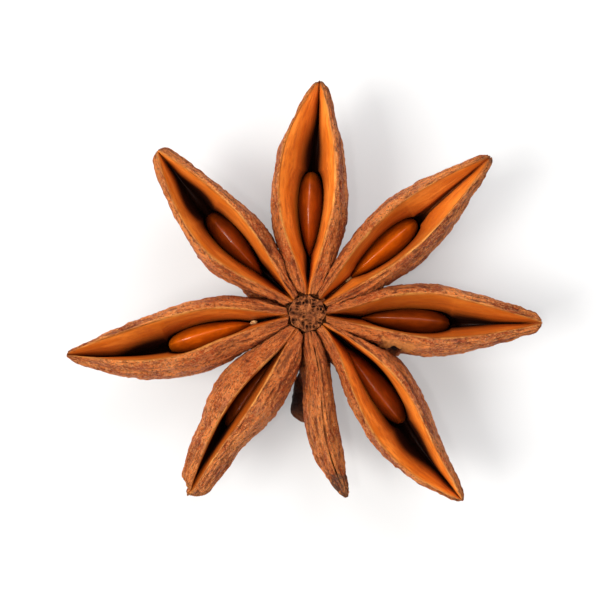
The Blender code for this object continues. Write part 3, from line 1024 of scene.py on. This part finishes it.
def add_seed(name, place):
    """Thickness goes with a power of the cosine round the section, which sharpens its top and
    bottom, and height with the sine. Both follow an egg's width along the axis.
    """
    turn = np.linspace(0, np.pi, SEED_ROWS + 2)[1:-1][:, None]
    t = -np.cos(turn)
    girth = egg(t, 0.55, 0.45)
    around = np.linspace(-0.5 * np.pi, 1.5 * np.pi, SEED_RING, endpoint=False)[None, :]
    side = np.cos(around)
    y = place.halves[1] * egg(t, *THICKNESS) * np.sign(side) * np.abs(side) ** 1.3
    z = place.halves[2] * girth * np.sin(around)
    x = place.halves[0] * t + 0 * y
    plain = np.stack([x, y, z], -1)
    rings = place.middle + plain @ place.axes
    wave = 0.02 * noise(plain, 1.1, 300) + 0.006 * noise(plain, 0.35, 301)
    rings = rings + surface_normals(rings) * (wave * np.sin(turn))[..., None]
    ends = place.middle + np.array([[-place.halves[0], 0, 0], [place.halves[0], 0, 0]]) @ place.axes
    # Where the painted highlight runs along the top ridge, and where painted shade darkens the
    # flanks.
    ridge_highlight = np.exp(-((around - 0.5 * np.pi) / 0.16) ** 2) + 0 * t
    flank_shade = eased(np.abs(side), 0.55, 1.0) + 0 * t
    marks = {"flow": plain, "ridge_highlight": ridge_highlight, "flank_shade": flank_shade}
    piece = make_piece(f"polished_seed_{name}", rings, ends, COATS.get(name, SHADED_BROWN), marks)
    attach(piece, "root")
    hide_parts(f"seed_{name}")
    return piece


for name, place in SEEDS.items():
    seed = add_seed(name, place)
    print(seed.name, "half sizes", np.round(place.halves, 2), "mm")

# %% [markdown]
# ## Seed stalks
# Where the west and the north-east seed were attached, a stub of the stalk is left, pale and
# soft. A small bead pushed in and out by the noise is enough for something this small. It
# lies against the seed's pointed end.

# %% Seed stalks
STALK_SIZE, STALK_SHAPE = 0.17, np.array([1.5, 0.9, 0.9])  # mm, and how long, wide and high it is


def stalk_finish():
    material, tree, shader = new_finish("seed_stalk", Metallic=0.0, Roughness=0.6)
    place = object_place(tree)
    patchy = between(tree, pattern(tree, place, (6000, 6000, 6000), 3.0), 0.4, 0.6)
    colour = blended(tree, patchy, (0.40, 0.16, 0.04), (0.78, 0.45, 0.18))
    tree.links.new(colour, shader.inputs["Base Color"])
    return material


STALK = stalk_finish()


def add_stalk(name, place):
    """Rings of a sphere, made longer along the seed and pushed in and out by the noise."""
    turn = np.linspace(0, np.pi, 30)[1:-1][:, None]
    around = np.linspace(0, 2 * np.pi, 40, endpoint=False)[None, :]
    ball = np.stack([-np.cos(turn) + 0 * around, np.sin(turn) * np.cos(around),
                     np.sin(turn) * np.sin(around)], -1)
    ball = ball * (1 + 0.25 * noise(ball, 0.8, 400))[..., None] * STALK_SIZE * STALK_SHAPE
    middle = place.middle + np.array([-place.halves[0] - 0.10, 0, 0.45]) @ place.axes
    reach = STALK_SIZE * STALK_SHAPE[0]
    ends = middle + np.array([[-reach, 0, 0], [reach, 0, 0]]) @ place.axes
    piece = make_piece(f"stalk_{name}", middle + ball @ place.axes, ends, STALK)
    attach(piece, "root")
    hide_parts("pod")
    return piece


for name in ("west", "north_east"):
    print(add_stalk(name, SEEDS[name]).name, "made")

# %% [markdown]
# ## Floor
# The pod lies on a plain white floor. It is a little grey with a faint glow of its own, so
# that it comes out nearly white with light shadows, and no extra light bleaches the pod.

# %% Floor
FLOOR_HALF, FLOOR_GLOW = 0.6, 0.30  # metres from the middle to an edge, and strength


def add_floor():
    mesh = bpy.data.meshes.new("floor")
    corners = [(FLOOR_HALF * x, FLOOR_HALF * y, 0) for x, y in ((-1, -1), (1, -1), (1, 1), (-1, 1))]
    mesh.from_pydata(corners, [], [(0, 1, 2, 3)])
    material, tree, shader = new_finish("pale_floor", Roughness=0.9, Specular_IOR_Level=0.0)
    place = object_place(tree)
    tone = pattern(tree, place, (40, 40, 40), 2.0)
    colour = blended(tree, tone, (0.43, 0.43, 0.428), (0.45, 0.45, 0.448))
    tree.links.new(colour, shader.inputs["Base Color"])
    shader.inputs["Emission Color"].default_value = (1, 1, 1, 1)
    shader.inputs["Emission Strength"].default_value = FLOOR_GLOW
    mesh.materials.append(material)
    floor = new_object("floor", mesh)
    return floor


print(add_floor().name, "is", 2 * FLOOR_HALF, "m square")

# %% [markdown]
# ## Lights
# The key light stands low on the left and a weaker one behind on the right. Two weak panels
# at the sides fill the shadows. A small one overhead gives each seed its sparkle.
# Square area lights give soft edges, and white surroundings light the hollows.

# %% Lights
SURROUNDINGS = 0.58  # strength of the white world


def add_light(name, size, watts, place, colour=(1, 1, 1)):
    """A square soft light aimed at the pod."""
    data = bpy.data.lights.new(name, "AREA")
    data.size = size
    data.energy = watts
    data.color = colour
    light = new_object(name, data)
    light.location = place
    light.rotation_euler = (-Vector(place)).to_track_quat("-Z", "Y").to_euler()
    print(name, watts, "W")


add_light("key", 0.22, 2.05, (-0.28, -0.07, 0.33), (1.0, 0.985, 0.955))
add_light("fill", 0.28, 1.10, (0.13, 0.33, 0.33), (0.97, 0.965, 1.0))
add_light("left_panel", 0.40, 0.40, (-0.28, 0.20, 0.30))
add_light("right_panel", 0.40, 0.45, (0.26, -0.24, 0.30))
add_light("sparkle", 0.03, 0.24, (-0.07, -0.02, 0.45))
world = bpy.data.worlds.new("studio")
world.use_nodes = True
background = world.node_tree.nodes["Background"]
background.inputs["Color"].default_value = (1, 1, 1, 1)
background.inputs["Strength"].default_value = SURROUNDINGS
bpy.context.scene.world = world
bpy.context.scene.view_settings.view_transform = "Standard"

# %% [markdown]
# ## Camera
# The camera looks straight down through a long lens, so that tall follicles hardly lean out.

# %% Camera
VIEW_WIDTH = 40.7  # mm across the view, at the height given next
VIEW_HEIGHT = 6.5  # mm above the floor, at the lips
VIEW_MIDDLE = (-0.07, 0.47)  # mm
lens = bpy.data.cameras.new("camera")
lens.lens, lens.sensor_width = 100, 36
lens.clip_start = 0.001
camera = new_object("camera", lens)
distance = VIEW_WIDTH * lens.lens / lens.sensor_width
camera.location = (VIEW_MIDDLE[0] * MM, VIEW_MIDDLE[1] * MM, (distance + VIEW_HEIGHT) * MM)
bpy.context.scene.camera = camera
print("camera", round(distance), "mm up")
